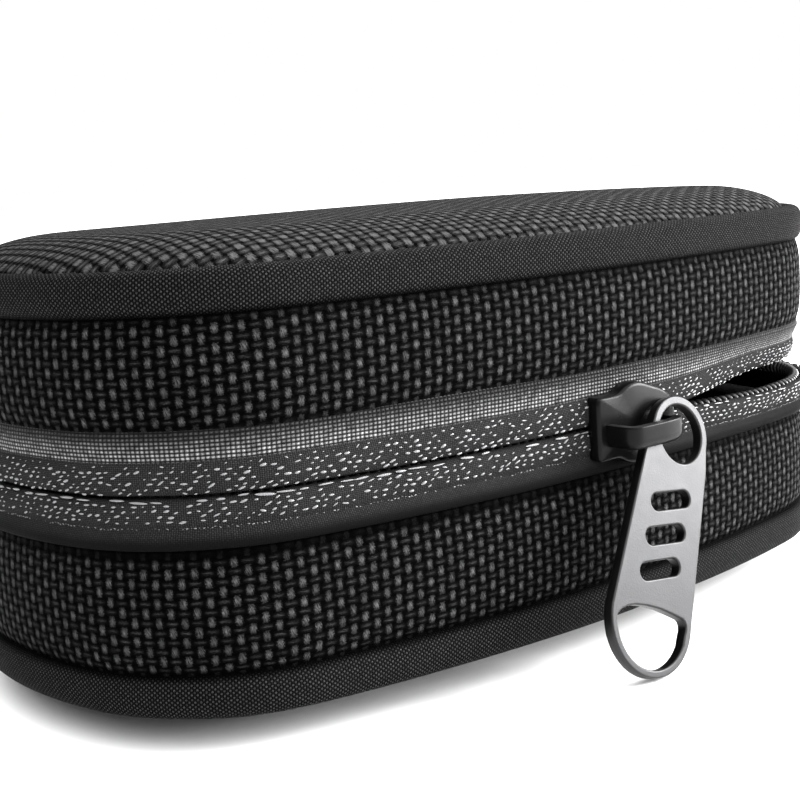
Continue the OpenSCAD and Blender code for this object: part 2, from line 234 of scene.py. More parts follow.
def carry_round(name, section, finish, columns=720, span=None, stir=None, pick=None):
    """Closed section of (offset, height) carried along the outline, or along part of it with closed ends.
    stir(s, section) may add an offset and a height to each point; uv is length along and length across."""
    m = len(section)
    closed = span is None
    s = np.linspace(0, girth, columns, endpoint=False) if closed else np.linspace(*span, columns)
    offset = np.repeat(section[None, :, 0], columns, 0)
    height = np.repeat(section[None, :, 1], columns, 0)
    if stir is not None:
        more_out, more_up = stir(s[:, None], section)
        offset, height = offset + more_out, height + more_up
    points = np.concatenate([plan_points(s, offset), height[..., None]], 2).reshape(-1, 3)
    quads, i, j = grid_quads(columns, m, closed, True)
    step = np.linalg.norm(np.roll(section, -1, 0) - section, axis=1)
    across = np.concatenate([[0.0], np.cumsum(step)])
    s_next = np.append(s[1:], girth)
    u = np.stack([s[i], s_next[i], s_next[i], s[i]], 1)
    v = np.stack([across[j], across[j], across[j + 1], across[j + 1]], 1)
    uvs = np.stack([u, v], 2).reshape(-1, 2) * MM
    picks = None if pick is None else pick(section, (j + 0.5).astype(int) % m)
    if not closed:
        # the two cut ends are closed by folding each end's section onto its middle line
        half = m // 2
        ends = []
        for row, flip in ((0, True), (columns - 1, False)):
            near = np.arange(half)
            far = m - 1 - near
            cap = np.stack([near[:-1], near[1:], far[1:], far[:-1]], 1) + row * m
            ends.append(cap if flip else cap[:, ::-1])
        caps = np.concatenate(ends)
        quads = np.concatenate([quads, caps])
        uvs = np.concatenate([uvs, np.zeros((caps.size, 2))])
        if picks is not None:
            picks = np.concatenate([picks, np.zeros(len(caps), int)])
    return add_piece(name, points, quads, uvs, finish, picks)


def calc(tree, how, *values):
    """Math node; values are numbers or sockets."""
    node = tree.nodes.new("ShaderNodeMath")
    node.operation = how
    for socket, value in zip(node.inputs, values):
        if isinstance(value, (int, float)):
            socket.default_value = value
        else:
            tree.links.new(value, socket)
    return node.outputs[0]


def joined(tree, *values):
    """Vector from up to three numbers or sockets."""
    node = tree.nodes.new("ShaderNodeCombineXYZ")
    for socket, value in zip(node.inputs, values):
        if isinstance(value, (int, float)):
            socket.default_value = value
        else:
            tree.links.new(value, socket)
    return node.outputs[0]


def speckle(tree, vector, scale, detail=2.0):
    """Noise value from 0 to 1 at a vector."""
    node = tree.nodes.new("ShaderNodeTexNoise")
    node.inputs["Scale"].default_value = scale
    node.inputs["Detail"].default_value = detail
    tree.links.new(vector, node.inputs["Vector"])
    return node.outputs["Fac"]


def mixed(tree, share, first, second):
    """Number from first to second by share."""
    node = tree.nodes.new("ShaderNodeMix")
    for socket, value in zip((node.inputs[0], node.inputs[2], node.inputs[3]), (share, first, second)):
        if isinstance(value, (int, float)):
            socket.default_value = value
        else:
            tree.links.new(value, socket)
    return node.outputs[0]


def tinted(tree, share, first, second):
    """Grey from first to second by share, as a colour."""
    node = tree.nodes.new("ShaderNodeValToRGB")
    node.color_ramp.elements[0].color = (*first, 1.0)
    node.color_ramp.elements[1].color = (*second, 1.0)
    tree.links.new(share, node.inputs["Fac"])
    return node.outputs["Color"]


def cloth_coords(tree, read):
    """Two sockets for the length along and across the cloth, and a vector in the object's own space."""
    node = tree.nodes.new("ShaderNodeTexCoord")
    split = tree.nodes.new("ShaderNodeSeparateXYZ")
    tree.links.new(node.outputs[read], split.inputs[0])
    return split.outputs[0], split.outputs[1], node.outputs["Object"]


def yarn_grid(tree, read, warp, weft, wander, wide=(0.36, 0.42)):
    """Plain weave. X and Y count yarns along and across; warp i waves as cos(pi (Y + i)) along its length
    and weft j as cos(pi (X + j + 1)). Across itself a yarn is 0.6 sqrt(1 - t^p), t the distance from its
    middle line over its half width, p 4 for the flat warps and 2 for the round wefts. The higher one shows.
    Returns the height from 0 to 1, 1 where a warp is on top, a painted highlight line along
    each weft's crown, the fibre streaks and a value per crossing."""
    along, across, space = cloth_coords(tree, read)
    drift = calc(tree, "SUBTRACT", speckle(tree, space, 260.0), 0.5)
    drift2 = calc(tree, "SUBTRACT", speckle(tree, space, 410.0), 0.5)
    x = calc(tree, "ADD", calc(tree, "DIVIDE", along, warp), calc(tree, "MULTIPLY", drift, wander))
    y = calc(tree, "ADD", calc(tree, "DIVIDE", across, weft), calc(tree, "MULTIPLY", drift2, wander))
    ix, iy = calc(tree, "ROUND", x), calc(tree, "ROUND", y)
    fx, fy = calc(tree, "SUBTRACT", x, ix), calc(tree, "SUBTRACT", y, iy)
    fray = calc(tree, "MULTIPLY", calc(tree, "SUBTRACT", speckle(tree, joined(tree, x, y, 0.0), 6.0, 3.0), 0.5), 0.5)

    def bow(f, half, power):
        t = calc(tree, "POWER", calc(tree, "ABSOLUTE", calc(tree, "DIVIDE", calc(tree, "ADD", f, fray), half)), power)
        return calc(tree, "SQRT", calc(tree, "MAXIMUM", calc(tree, "SUBTRACT", 1.0, t), 0.0))

    def wave(phase):
        return calc(tree, "COSINE", calc(tree, "MULTIPLY", phase, math.pi))

    warp_bow, weft_bow = bow(fx, wide[0], 4.0), bow(fy, wide[1], 2.0)
    weft_wave = wave(calc(tree, "ADD", calc(tree, "ADD", x, iy), 1.0))
    warps = calc(tree, "ADD", calc(tree, "MULTIPLY", warp_bow, 0.6),
                 calc(tree, "MULTIPLY", wave(calc(tree, "ADD", y, ix)), 0.4))
    wefts = calc(tree, "ADD", calc(tree, "MULTIPLY", weft_bow, 0.6), calc(tree, "MULTIPLY", weft_wave, 0.4))
    height = calc(tree, "MAXIMUM", calc(tree, "MAXIMUM", warps, wefts), 0.0)
    warp_up = calc(tree, "GREATER_THAN", warps, wefts)
    # painted highlight: a thin bright line on the crown of each weft, for the colour
    painted_glint = calc(tree, "MULTIPLY", calc(tree, "POWER", weft_bow, 26.0), calc(tree, "MAXIMUM", weft_wave, 0.0))
    fine, fine2 = mixed(tree, warp_up, 1.6, 13.0), mixed(tree, warp_up, 13.0, 1.6)
    lean = calc(tree, "MULTIPLY", calc(tree, "MULTIPLY", y, warp_up), 3.0)
    streaks = speckle(tree, joined(tree, calc(tree, "ADD", calc(tree, "MULTIPLY", x, fine), lean),
                                   calc(tree, "MULTIPLY", y, fine2), warp_up), 1.0, 3.0)
    crossing = tree.nodes.new("ShaderNodeTexWhiteNoise")
    crossing.noise_dimensions = "3D"
    tree.links.new(joined(tree, ix, iy, warp_up), crossing.inputs["Vector"])
    return height, warp_up, painted_glint, streaks, crossing.outputs["Value"]


def raised(tree, height, relief):
    """Bump from a height of 0 to 1, relief in metres."""
    node = tree.nodes.new("ShaderNodeBump")
    node.inputs["Strength"].default_value = 1.0
    node.inputs["Distance"].default_value = relief
    tree.links.new(height, node.inputs["Height"])
    return node.outputs["Normal"]


def woven(name, warp, weft, relief, low, high, rough, read="UV", wander=0.22, weft_share=0.03, painted_glint_share=0.4,
          painted_shade_bands=(), wide=(0.27, 0.42)):
    """Cloth of plain weave, its light and shade painted into the colour: painted shade, black, between the yarns,
    a painted sheen on the yarn tops, full on the warps and weft_share of it on the wefts, a painted highlight
    line along each weft's crown, and fibre streaks along each yarn. At each painted shade band (from, to) the
    cloth darkens from the first height in mm to the second."""
    finish = bpy.data.materials.new(name)
    finish.use_nodes = True
    tree = finish.node_tree
    shader = tree.nodes["Principled BSDF"]
    height, warp_up, painted_glint, streaks, crossing = yarn_grid(tree, read, warp, weft, wander, wide)
    hair = calc(tree, "MAXIMUM", calc(tree, "MULTIPLY", calc(tree, "SUBTRACT", streaks, 0.30), 4.2), 0.0)
    glow = calc(tree, "MULTIPLY", hair, calc(tree, "ADD", 0.8, calc(tree, "MULTIPLY", crossing, 0.6)))
    # painted shade and sheen: the colour rises with the yarn's height, black in the gaps, full on warp tops and
    # weft_share on weft tops
    top = calc(tree, "MULTIPLY", calc(tree, "POWER", height, 2.2), mixed(tree, warp_up, weft_share, 1.0))
    # painted highlight line on each weft's crown
    line = calc(tree, "MULTIPLY", calc(tree, "MULTIPLY", painted_glint, painted_glint_share), calc(tree, "SUBTRACT", 1.0, warp_up))
    shade = calc(tree, "MULTIPLY", calc(tree, "ADD", top, line), glow)
    upright = tree.nodes.new("ShaderNodeSeparateXYZ")
    tree.links.new(cloth_coords(tree, "Object")[2], upright.inputs[0])
    # painted shade bands: the colour darkens from one height to the next, where shade falls by the seams
    for start, end in painted_shade_bands:
        fade = tree.nodes.new("ShaderNodeMapRange")
        fade.interpolation_type = "SMOOTHSTEP"
        fade.inputs["From Min"].default_value = start * MM
        fade.inputs["From Max"].default_value = end * MM
        fade.inputs["To Min"].default_value = 1.0
        fade.inputs["To Max"].default_value = 0.04
        tree.links.new(upright.outputs["Z"], fade.inputs["Value"])
        shade = calc(tree, "MULTIPLY", shade, fade.outputs["Result"])
    tree.links.new(tinted(tree, shade, (low,) * 3, (high,) * 3), shader.inputs["Base Color"])
    full = calc(tree, "ADD", height, calc(tree, "MULTIPLY", streaks, 0.3))
    tree.links.new(raised(tree, full, relief), shader.inputs["Normal"])
    matt = calc(tree, "MULTIPLY", calc(tree, "SUBTRACT", 1.0, height), 0.5)
    tree.links.new(calc(tree, "ADD", matt, calc(tree, "SUBTRACT", rough + 0.1, calc(tree, "MULTIPLY", streaks, 0.2))),
                   shader.inputs["Roughness"])
    # specular nearly off: the yarns' sheen is painted into the colour above
    shader.inputs["Specular IOR Level"].default_value = 0.012
    return finish


warp_pitch = girth / round(girth / 1.36) * MM
weft_pitch = 1.02 * MM
# painted shade bands beside both bindings, under the base's lip and above the lid's ribbed strip
wall_cloth = woven("wall_cloth", warp_pitch, weft_pitch, 0.45 * MM, 0.0003, 0.95, 0.5,
                   painted_shade_bands=((9.6, 8.4), (19.9, 21.2), (34.9, 33.7), (44.2, 45.4)))


def puckers(size, lengths):
    """Stir function: small waves along a seam, size in mm at the section's ends, none in its middle."""
    def stir(s, section):
        wave = sum(np.sin(2 * np.pi * round(girth / w) * s / girth + 1.7 * k) for k, w in enumerate(lengths))
        z = section[:, 1]
        edge = np.abs((z - z.mean()) / (np.ptp(z) / 2)) ** 3
        return size * wave / len(lengths) * edge[None], np.zeros((len(s), len(section)))
    return stir


lower_wall = carry_round("lower_wall_cloth", rounded([
    (-1.5, 7.6), (-0.75, 7.6), (-0.62, 8.5), (-0.12, 9.6), (0.08, 12.0), (0.12, 15.0), (0.05, 18.0),
    (-0.2, 20.6), (-0.6, 22.2), (-1.5, 22.2), (-1.5, 15.0)]), wall_cloth, stir=puckers(0.12, (23, 37, 61)))
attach(lower_wall, "base")
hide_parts("base_wall_fabric")

# ---------------------------------------------------------------------------
# Upper wall: the same nylon, between the lid's binding and the flat part of
# the zip tape. The yarns line up with those of the lower wall.
# ---------------------------------------------------------------------------
upper_wall = carry_round("upper_wall_cloth", rounded([
    (-1.5, 33.3), (-0.7, 33.3), (-0.45, 34.3), (-0.05, 35.6), (0.1, 38.0), (0.12, 41.0), (0.0, 43.6),
    (-0.45, 45.2), (-0.8, 46.4), (-1.5, 46.4), (-1.5, 40.0)]), wall_cloth, stir=puckers(0.12, (29, 41, 67)))
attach(upper_wall, "lid")
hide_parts("lid_wall_fabric")

# ---------------------------------------------------------------------------
# Edge bindings: finely woven tape folded over the seam between wall and
# panel, one round the base's lower edge and one round the lid's upper edge.
# ---------------------------------------------------------------------------
# painted shade bands along each binding's edge where it meets the wall
binding_cloth = woven("binding_cloth", 0.30 * MM, 0.25 * MM, 0.14 * MM, 0.0004, 0.8, 0.45, wander=0.08, weft_share=0.12,
                      painted_glint_share=0.0, wide=(0.4, 0.42), painted_shade_bands=((7.6, 8.5), (46.2, 45.3)))
binding_fold = np.array([
    (-2.4, 0.5), (-1.7, 0.02), (-0.8, 0.0), (0.0, 0.35), (0.45, 1.3), (0.52, 2.5), (0.38, 3.6),
    (0.0, 4.4), (-0.55, 4.72), (-1.1, 4.6), (-1.5, 4.2), (-2.4, 4.0), (-2.5, 2.2)])


def binding_waves(s, section):
    """Stir function: slow swells of the folded tape, out and up."""
    slow = sum(np.sin(2 * np.pi * round(girth / w) * s / girth + w) for w in (31, 47, 83)) / 3
    return 0.07 * slow + 0 * section[None, :, 0], 0.06 * np.roll(slow, 7, 0) + 0 * section[None, :, 1]


base_binding = carry_round("base_edge_binding", rounded(binding_fold + [0, base_z]), binding_cloth,
                           columns=900, stir=binding_waves)
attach(base_binding, "base")
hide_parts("base_binding")
lid_fold = binding_fold * [1, -1]
lid_binding = carry_round("lid_edge_binding", rounded(lid_fold[::-1] + [0, top_z]), binding_cloth,
                          columns=900, stir=binding_waves)
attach(lid_binding, "lid")
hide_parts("lid_binding")

# ---------------------------------------------------------------------------
# Padded panels: nylon over foam, moulded with a sloping shoulder and a
# flatter middle, one on the lid and one underneath that the case stands on.
# ---------------------------------------------------------------------------
panel_cloth = woven("panel_cloth", 1.36 * MM, 1.02 * MM, 0.42 * MM, 0.0003, 0.065, 0.5, read="Object", weft_share=0.3,
                    wide=(0.36, 0.42))
ring_limit = 16.0


def dish(name, path, finish, columns=480):
    """Closed body from rings of the outline: path holds (inset, height); past 16 mm the ring at 16 mm
    shrinks towards the middle, inset 16 + 44 k being the ring scaled by 1 - k. Both ends are poles."""
    path = np.array(path, float)
    s = np.linspace(0, girth, columns, endpoint=False)
    inset = np.minimum(path[:, 0], ring_limit)
    shrink = 1 - np.clip(path[:, 0] - ring_limit, 0, 44) / 44
    xy = plan_points(s, np.repeat(-inset[None], columns, 0)) * shrink[None, :, None]
    rings = np.concatenate([xy, np.repeat(path[None, :, 1:], columns, 0)], 2)
    inner = rings[:, 1:-1].reshape(-1, 3)
    m = len(path) - 2
    quads, _, _ = grid_quads(columns, m, True, False)
    first, last = len(inner), len(inner) + 1
    points = np.concatenate([inner, [[0, 0, path[0, 1]], [0, 0, path[-1, 1]]]])
    a = np.arange(columns)
    b = (a + 1) % columns
    fans = np.concatenate([np.stack([np.full(columns, first), b * m, a * m], 1),
                           np.stack([np.full(columns, last), a * m + m - 1, b * m + m - 1], 1)])
    mesh = bpy.data.meshes.new(name)
    mesh.from_pydata((points * MM).tolist(), [], quads.tolist() + fans.tolist())
    mesh.polygons.foreach_set("use_smooth", np.ones(len(mesh.polygons), dtype=bool))
    mesh.materials.append(finish)
    piece = bpy.data.objects.new(name, mesh)
    bpy.context.scene.collection.objects.link(piece)
    return piece


def shoulder(inset):
    """Rise of the padded panel: a straight-ish shoulder to 13.5 mm in, then an almost flat crown."""
    t = np.clip((inset - 1.9) / 11.6, 0, 1)
    crown = np.clip((inset - 13.5) / 46.5, 0, 1)
    return -0.7 + 3.95 * np.sin(0.5 * np.pi * t) ** 0.55 + 0.6 * np.sin(0.5 * np.pi * crown)


insets = np.concatenate([np.linspace(1.9, 16, 36), np.linspace(17, 60, 40)])
rise = shoulder(insets)
panel_under = [(60.0, -0.6), (40.0, -0.6), (20.0, -0.6), (8.0, -0.6), (3.0, -0.7), (2.0, -0.72)]
lid_panel = dish("lid_padded_panel", [(i, h + top_z) for i, h in panel_under]
                 + [(i, h + top_z) for i, h in zip(insets, rise)], panel_cloth)
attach(lid_panel, "lid")
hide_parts("lid_top_panel", "lid_top_foam", "lid_top_board")
base_rise = np.minimum(rise, stand_mm)
base_panel = dish("base_padded_panel", [(i, base_z - h) for i, h in zip(insets[::-1], base_rise[::-1])]
                  + [(i, base_z - h) for i, h in panel_under[::-1]], panel_cloth)
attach(base_panel, "base")
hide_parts("base_bottom_panel", "base_bottom_foam", "base_bottom_board")

# ---------------------------------------------------------------------------
# Zip tapes: woven tape with the coil sewn to its back, so each half shows as
# a soft ridge. The lid's tape runs on flat and ribbed up to the wall; the
# base's is rolled into a lip over the lower wall. Right of the slider they part.
# ---------------------------------------------------------------------------
slider_x = 3.9
slider_s = girth / 2 + side_r * math.asin(slider_x / side_r)
zip_span = (28.3, girth - 28.3)
part_from = slider_s + 5.5


def smooth(t):
    """Smooth step of t clipped to 0..1."""
    t = np.clip(t, 0, 1)
    return t * t * (3 - 2 * t)


def parting(s):
    """How far the zip has opened at length s: 0 left of the slider, 1 past the corner, 0 at the hinge."""
    return smooth((s - part_from) / 26.0) * smooth((zip_span[1] - s) / 45.0)


def tape_shift(lid):
    """Stir function of one tape: where the zip is open its free edge moves away from the other tape,
    and the lid's moves in while the base's bellies out; the sewn edge stays put."""
    def stir(s, section):
        free = np.clip(1 - np.abs(section[None, :, 1] - zip_z) / 6.0, 0, 1) ** 0.8
        open_by = parting(s) * free
        ripple = 0.05 * np.sin(2 * np.pi * 19 * s / girth) + 0.04 * np.sin(2 * np.pi * 43 * s / girth + 2)
        out = (-1.5 if lid else 1.3) * open_by + ripple * free
        up = (1.5 if lid else -0.9) * open_by + 0.7 * ripple * free
        return out, up
    return stir


def ribbed(name, rib, bead, relief, low, high, rough):
    """Shiny flat tape: ribs across it, |cos| of the length along, each beaded by a cosine across. Its colour is a
    painted highlight on the rib crowns, broken into random patches and faded by painted shade from 31.6 to 33.4 mm up.
    """
    finish = bpy.data.materials.new(name)
    finish.use_nodes = True
    tree = finish.node_tree
    shader = tree.nodes["Principled BSDF"]
    along, across, space = cloth_coords(tree, "UV")
    drift = calc(tree, "MULTIPLY", calc(tree, "SUBTRACT", speckle(tree, space, 500.0), 0.5), 0.5)
    x = calc(tree, "ADD", calc(tree, "MULTIPLY", along, math.pi / rib), drift)
    y = calc(tree, "ADD", calc(tree, "MULTIPLY", across, 2 * math.pi / bead), calc(tree, "MULTIPLY", drift, 3.0))
    rows = calc(tree, "ABSOLUTE", calc(tree, "SINE", x))
    beads = calc(tree, "ADD", 0.5, calc(tree, "MULTIPLY", calc(tree, "COSINE", y), 0.5))
    height = calc(tree, "MULTIPLY", calc(tree, "POWER", rows, 0.8), calc(tree, "POWER", beads, 0.6))
    grain = speckle(tree, space, 4200.0, 3.0)
    patch = calc(tree, "MAXIMUM", calc(tree, "MULTIPLY", calc(tree, "SUBTRACT", speckle(tree, space, 1500.0, 2.0), 0.15), 1.7),
                 0.0)
    full = calc(tree, "ADD", height, calc(tree, "MULTIPLY", grain, 0.9))
    upright = tree.nodes.new("ShaderNodeSeparateXYZ")
    tree.links.new(space, upright.inputs[0])
    # painted shade: the painted highlight fades out from 31.6 to 33.4 mm up, towards the strip's edge under the wall
    band = tree.nodes.new("ShaderNodeMapRange")
    for socket, value in (("From Min", 31.6 * MM), ("From Max", 33.4 * MM), ("To Min", 1.0), ("To Max", 0.12)):
        band.inputs[socket].default_value = value
    tree.links.new(upright.outputs["Z"], band.inputs["Value"])
    painted_shine = calc(tree, "MULTIPLY", calc(tree, "MULTIPLY", calc(tree, "POWER", height, 1.6), patch), band.outputs["Result"])
    tree.links.new(tinted(tree, painted_shine, (low,) * 3, (high,) * 3), shader.inputs["Base Color"])
    tree.links.new(raised(tree, full, relief), shader.inputs["Normal"])
    dull = calc(tree, "MULTIPLY", calc(tree, "SUBTRACT", 1.0, painted_shine), 0.35)
    tree.links.new(calc(tree, "ADD", calc(tree, "ADD", rough - 0.1, dull), calc(tree, "MULTIPLY", grain, 0.2)),
                   shader.inputs["Roughness"])
    shader.inputs["Specular IOR Level"].default_value = 0.08
    return finish


ribbed_tape = ribbed("ribbed_tape", 0.52 * MM, 0.42 * MM, 0.2 * MM, 0.0003, 0.42, 0.25)
# painted shade band darkening the lower edge of the base's rolled lip
ridge_tape = woven("ridge_tape", 0.24 * MM, 0.20 * MM, 0.03 * MM, 0.003, 0.030, 0.5, wander=0.2, weft_share=0.6,
                   wide=(0.42, 0.42), painted_shade_bands=((24.0, 22.4),))


def strip_pick(section, j):
    """Material of each face of the lid's tape: 1, ribbed, on the flat part that faces out, else 0."""
    middle = (section + np.roll(section, -1, 0)) / 2
    flat = (middle[:, 1] > zip_z + 3.6) & (middle[:, 0] > -0.75)
    return flat[j].astype(int)


base_tape_section = rounded(np.array([
    (-1.5, -5.2), (-0.9, -5.5), (-0.1, -5.45), (0.38, -5.05), (0.5, -4.5), (0.32, -3.9), (-0.08, -3.5),
    (-0.38, -3.2), (-0.15, -2.8), (0.0, -2.0), (-0.05, -1.1), (-0.32, -0.4), (-0.8, -0.12), (-1.5, -0.2)])
    + [0, zip_z])
base_tape = carry_round("base_zip_tape_ridge", base_tape_section, ridge_tape, columns=900, span=zip_span,
                        stir=tape_shift(False))
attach(base_tape, "base")
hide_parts("base_zip_tape")

lid_tape_section = rounded(np.array([
    (-1.5, 0.2), (-0.8, 0.12), (-0.32, 0.4), (-0.05, 1.1), (0.0, 2.0), (-0.1, 2.9), (-0.45, 3.5),
    (-0.5, 3.8), (-0.4, 4.6), (-0.35, 5.6), (-0.42, 6.4), (-0.6, 7.0), (-1.3, 7.0), (-1.3, 4.0), (-1.6, 3.2)])
    + [0, zip_z])
lid_tape = carry_round("lid_zip_tape_ridge", lid_tape_section, [ridge_tape, ribbed_tape], columns=900,
                       span=zip_span, stir=tape_shift(True), pick=strip_pick)
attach(lid_tape, "lid")
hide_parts("lid_zip_tape")

# ---------------------------------------------------------------------------
# Zip stitches: glossy nylon thread that sews each coil to its tape, three
# rows of short raised stitches on each ridge, unevenly pulled.
# ---------------------------------------------------------------------------
thread = bpy.data.materials.new("zip_thread")
thread.use_nodes = True
thread_shader = thread.node_tree.nodes["Principled BSDF"]
# painted highlight: the thread's colour is a light grey so the stitches show as bright dashes, on top of its real gloss
thread_shader.inputs["Base Color"].default_value = (0.14, 0.14, 0.145, 1.0)
thread_shader.inputs["Roughness"].default_value = 0.22
thread_shader.inputs["Specular IOR Level"].default_value = 0.9
thread_grain = speckle(thread.node_tree, cloth_coords(thread.node_tree, "Object")[2], 9000.0)
thread.node_tree.links.new(raised(thread.node_tree, thread_grain, 0.05 * MM), thread_shader.inputs["Normal"])
dice = np.random.default_rng(7)


def stitches(name, rows, lid):
    """Small spindles lying along the zip. Each is an 8 by 6 grid: radius 0.17 sqrt(1 - t^2) mm at t from
    -1 to 1 along its length; rows holds (distance from the zip's centre, offset, pitch, slant, half length)."""
    spots = []
    for distance, offset, pitch, slant, reach_half in rows:
        n = int((zip_span[1] - zip_span[0]) / pitch)
        s = zip_span[0] + 1 + pitch * (np.arange(n) + dice.uniform(0, 1)) + dice.normal(0, 0.09 * pitch, n)
        half = reach_half * dice.uniform(0.45, 1.25, n)
        spots.append(np.stack([s, distance + dice.normal(0, 0.08, n), np.full(n, offset), half,
                               slant + dice.normal(0, 0.05 / reach_half, n),
                               np.minimum(0.5 * half, dice.uniform(0.09, 0.18, n))], 1))
    spots = np.concatenate(spots)
    spots = spots[(spots[:, 0] < zip_span[1] - 1) & (dice.uniform(0, 1, len(spots)) < 0.86)]
    t = np.linspace(-1, 1, 8)
    a = np.linspace(0, 2 * np.pi, 6, endpoint=False)
    t, a = np.meshgrid(t, a, indexing="ij")
    body = np.sqrt(np.maximum(1 - t ** 2, 0.02))
    sign = 1 if lid else -1
    along = spots[:, None, None, 3] * t[None]
    s = spots[:, None, None, 0] + along
    lift = spots[:, None, None, 5] * body[None]
    out = spots[:, None, None, 2] + lift * np.cos(a)[None]
    z = zip_z + sign * spots[:, None, None, 1] + lift * np.sin(a)[None] + along * spots[:, None, None, 4]
    free = np.clip(1 - np.abs(z - zip_z) / 6.0, 0, 1) ** 0.8
    open_by = parting(s) * free
    out = out + (-1.5 if lid else 1.3) * open_by
    z = z + (1.5 if lid else -0.9) * open_by
    flat_s, flat_out = s.reshape(-1), out.reshape(-1, 1)
    points = np.concatenate([plan_points(flat_s, flat_out)[:, 0], z.reshape(-1, 1)], 1)
    one, _, _ = grid_quads(8, 6, False, True)
    ends = np.array([[0, 1, 2, 3], [0, 3, 4, 5], [45, 44, 43, 42], [47, 46, 45, 42]])
    one = np.concatenate([one[:, ::-1], ends])
    quads = (one[None] + 48 * np.arange(len(spots))[:, None, None]).reshape(-1, 4)
    return add_piece(name, points, quads, None, thread)


base_stitches = stitches("base_zip_stitches", [
    (0.3, -0.3, 2.2, 0.0, 0.95), (0.75, -0.14, 1.15, 0.16, 0.32), (1.3, -0.02, 1.15, 0.16, 0.32),
    (1.85, 0.0, 1.15, 0.16, 0.32), (2.4, -0.06, 1.15, 0.16, 0.32), (3.15, -0.33, 0.42, 0.0, 0.13)], False)
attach(base_stitches, "base")
lid_stitches = stitches("lid_zip_stitches", [
    (0.5, -0.26, 1.15, 0.16, 0.32), (1.05, -0.04, 1.15, 0.16, 0.32), (1.6, 0.0, 1.15, 0.16, 0.32),
    (2.15, -0.03, 1.15, 0.16, 0.32), (2.7, -0.08, 1.15, 0.16, 0.32), (3.2, -0.25, 1.3, 0.2, 0.2)], True)
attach(lid_stitches, "lid")

# ---------------------------------------------------------------------------
# Coils: one nylon coil sewn behind each tape; its loops are the zip's teeth
# and show in the line between the tapes and where the zip has parted.
# ---------------------------------------------------------------------------
coil_nylon = bpy.data.materials.new("coil_nylon")
coil_nylon.use_nodes = True
coil_shader = coil_nylon.node_tree.nodes["Principled BSDF"]
coil_shader.inputs["Base Color"].default_value = (0.015, 0.015, 0.016, 1.0)
coil_shader.inputs["Roughness"].default_value = 0.3
coil_grain = speckle(coil_nylon.node_tree, cloth_coords(coil_nylon.node_tree, "Object")[2], 2500.0)
coil_nylon.node_tree.links.new(raised(coil_nylon.node_tree, coil_grain, 0.03 * MM), coil_shader.inputs["Normal"])


def coil(name, lid, pitch=1.25, turn_steps=14):
    """Tube of radius 0.3 mm round a flattened helix: at angle w the path is at offset -2.15 + 0.55 cos w
    and height 1.0 + 0.95 sin w beside the zip's centre, moving on one pitch each turn."""
    turns = int((zip_span[1] - zip_span[0] - 1) / pitch)
    w = np.arange(turns * turn_steps + 1) * 2 * np.pi / turn_steps
    s = zip_span[0] + 0.5 + pitch * w / (2 * np.pi)
    sign = 1 if lid else -1
    shift = parting(s)
    off = -2.15 + 0.55 * np.cos(w) + (-1.4 if lid else 1.2) * shift
    z = zip_z + sign * (1.0 + 0.95 * np.sin(w)) + (1.4 if lid else -0.85) * shift
    path = np.concatenate([plan_points(s, off[:, None])[:, 0], z[:, None]], 1)
    ahead = np.gradient(path, axis=0)
    ahead /= np.linalg.norm(ahead, axis=1)[:, None]
    side = np.cross(ahead, np.stack([np.cos(w), 0 * w, np.sin(w)], 1) + 0.01)
    side /= np.linalg.norm(side, axis=1)[:, None]
    other = np.cross(ahead, side)
    a = np.linspace(0, 2 * np.pi, 7, endpoint=False)
    ring = path[:, None] + 0.3 * (np.cos(a)[None, :, None] * side[:, None] + np.sin(a)[None, :, None] * other[:, None])
    quads, _, _ = grid_quads(len(path), 7, False, True)
    top = (len(path) - 1) * 7
    ends = np.array([[0, 1, 2, 3], [0, 3, 4, 5], [0, 5, 6, 6],
                     [top + 3, top + 2, top + 1, top], [top + 5, top + 4, top + 3, top]])
    ends = np.delete(ends, 2, 0)
    return add_piece(name, ring.reshape(-1, 3), np.concatenate([quads[:, ::-1], ends]), None, coil_nylon)


base_coil = coil("base_zip_teeth", False)
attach(base_coil, "base")
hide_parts("base_zip_coil")
lid_coil = coil("lid_zip_teeth", True)
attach(lid_coil, "lid")
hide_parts("lid_zip_coil")

# ---------------------------------------------------------------------------
# Slider: a zinc casting, lacquered satin black. Its outer plate has a flat
# tail, a raised shoulder and a tapering nose; the post joins the inner plate.
# ---------------------------------------------------------------------------
slider_turn = math.asin(slider_x / side_r)


def lacquer(name, shade, rough, metal, grain, scale):
    """Metal finish with a fine cast grain and slightly uneven gloss."""
    finish = bpy.data.materials.new(name)
    finish.use_nodes = True
    tree = finish.node_tree
    shader = tree.nodes["Principled BSDF"]
    space = cloth_coords(tree, "Object")[2]
    fine, broad = speckle(tree, space, scale, 3.0), speckle(tree, space, 420.0, 2.0)
    tree.links.new(tinted(tree, fine, tuple(0.85 * v for v in shade), shade), shader.inputs["Base Color"])
    tree.links.new(calc(tree, "ADD", rough - 0.06, calc(tree, "MULTIPLY", broad, 0.12)), shader.inputs["Roughness"])
    tree.links.new(raised(tree, fine, grain), shader.inputs["Normal"])
    shader.inputs["Metallic"].default_value = metal
    return finish


black_lacquer = lacquer("black_lacquer", (0.002, 0.002, 0.0022), 0.30, 0.0, 0.012 * MM, 7000.0)
black_lacquer.node_tree.nodes["Principled BSDF"].inputs["Specular IOR Level"].default_value = 0.09


def front_points(x, z, out):
    """Points on the bowed front: x along it from the slider's middle, z up from the zip, out from its face."""
    turn = slider_turn + x / side_r
    return np.stack([(side_r + out) * np.sin(turn), side_cy - (side_r + out) * np.cos(turn), zip_z + z], -1)


def open_curve(points, steps):
    """Closed smooth outline through control points: each side cut at its quarters, steps times."""
    return rounded(points, steps)


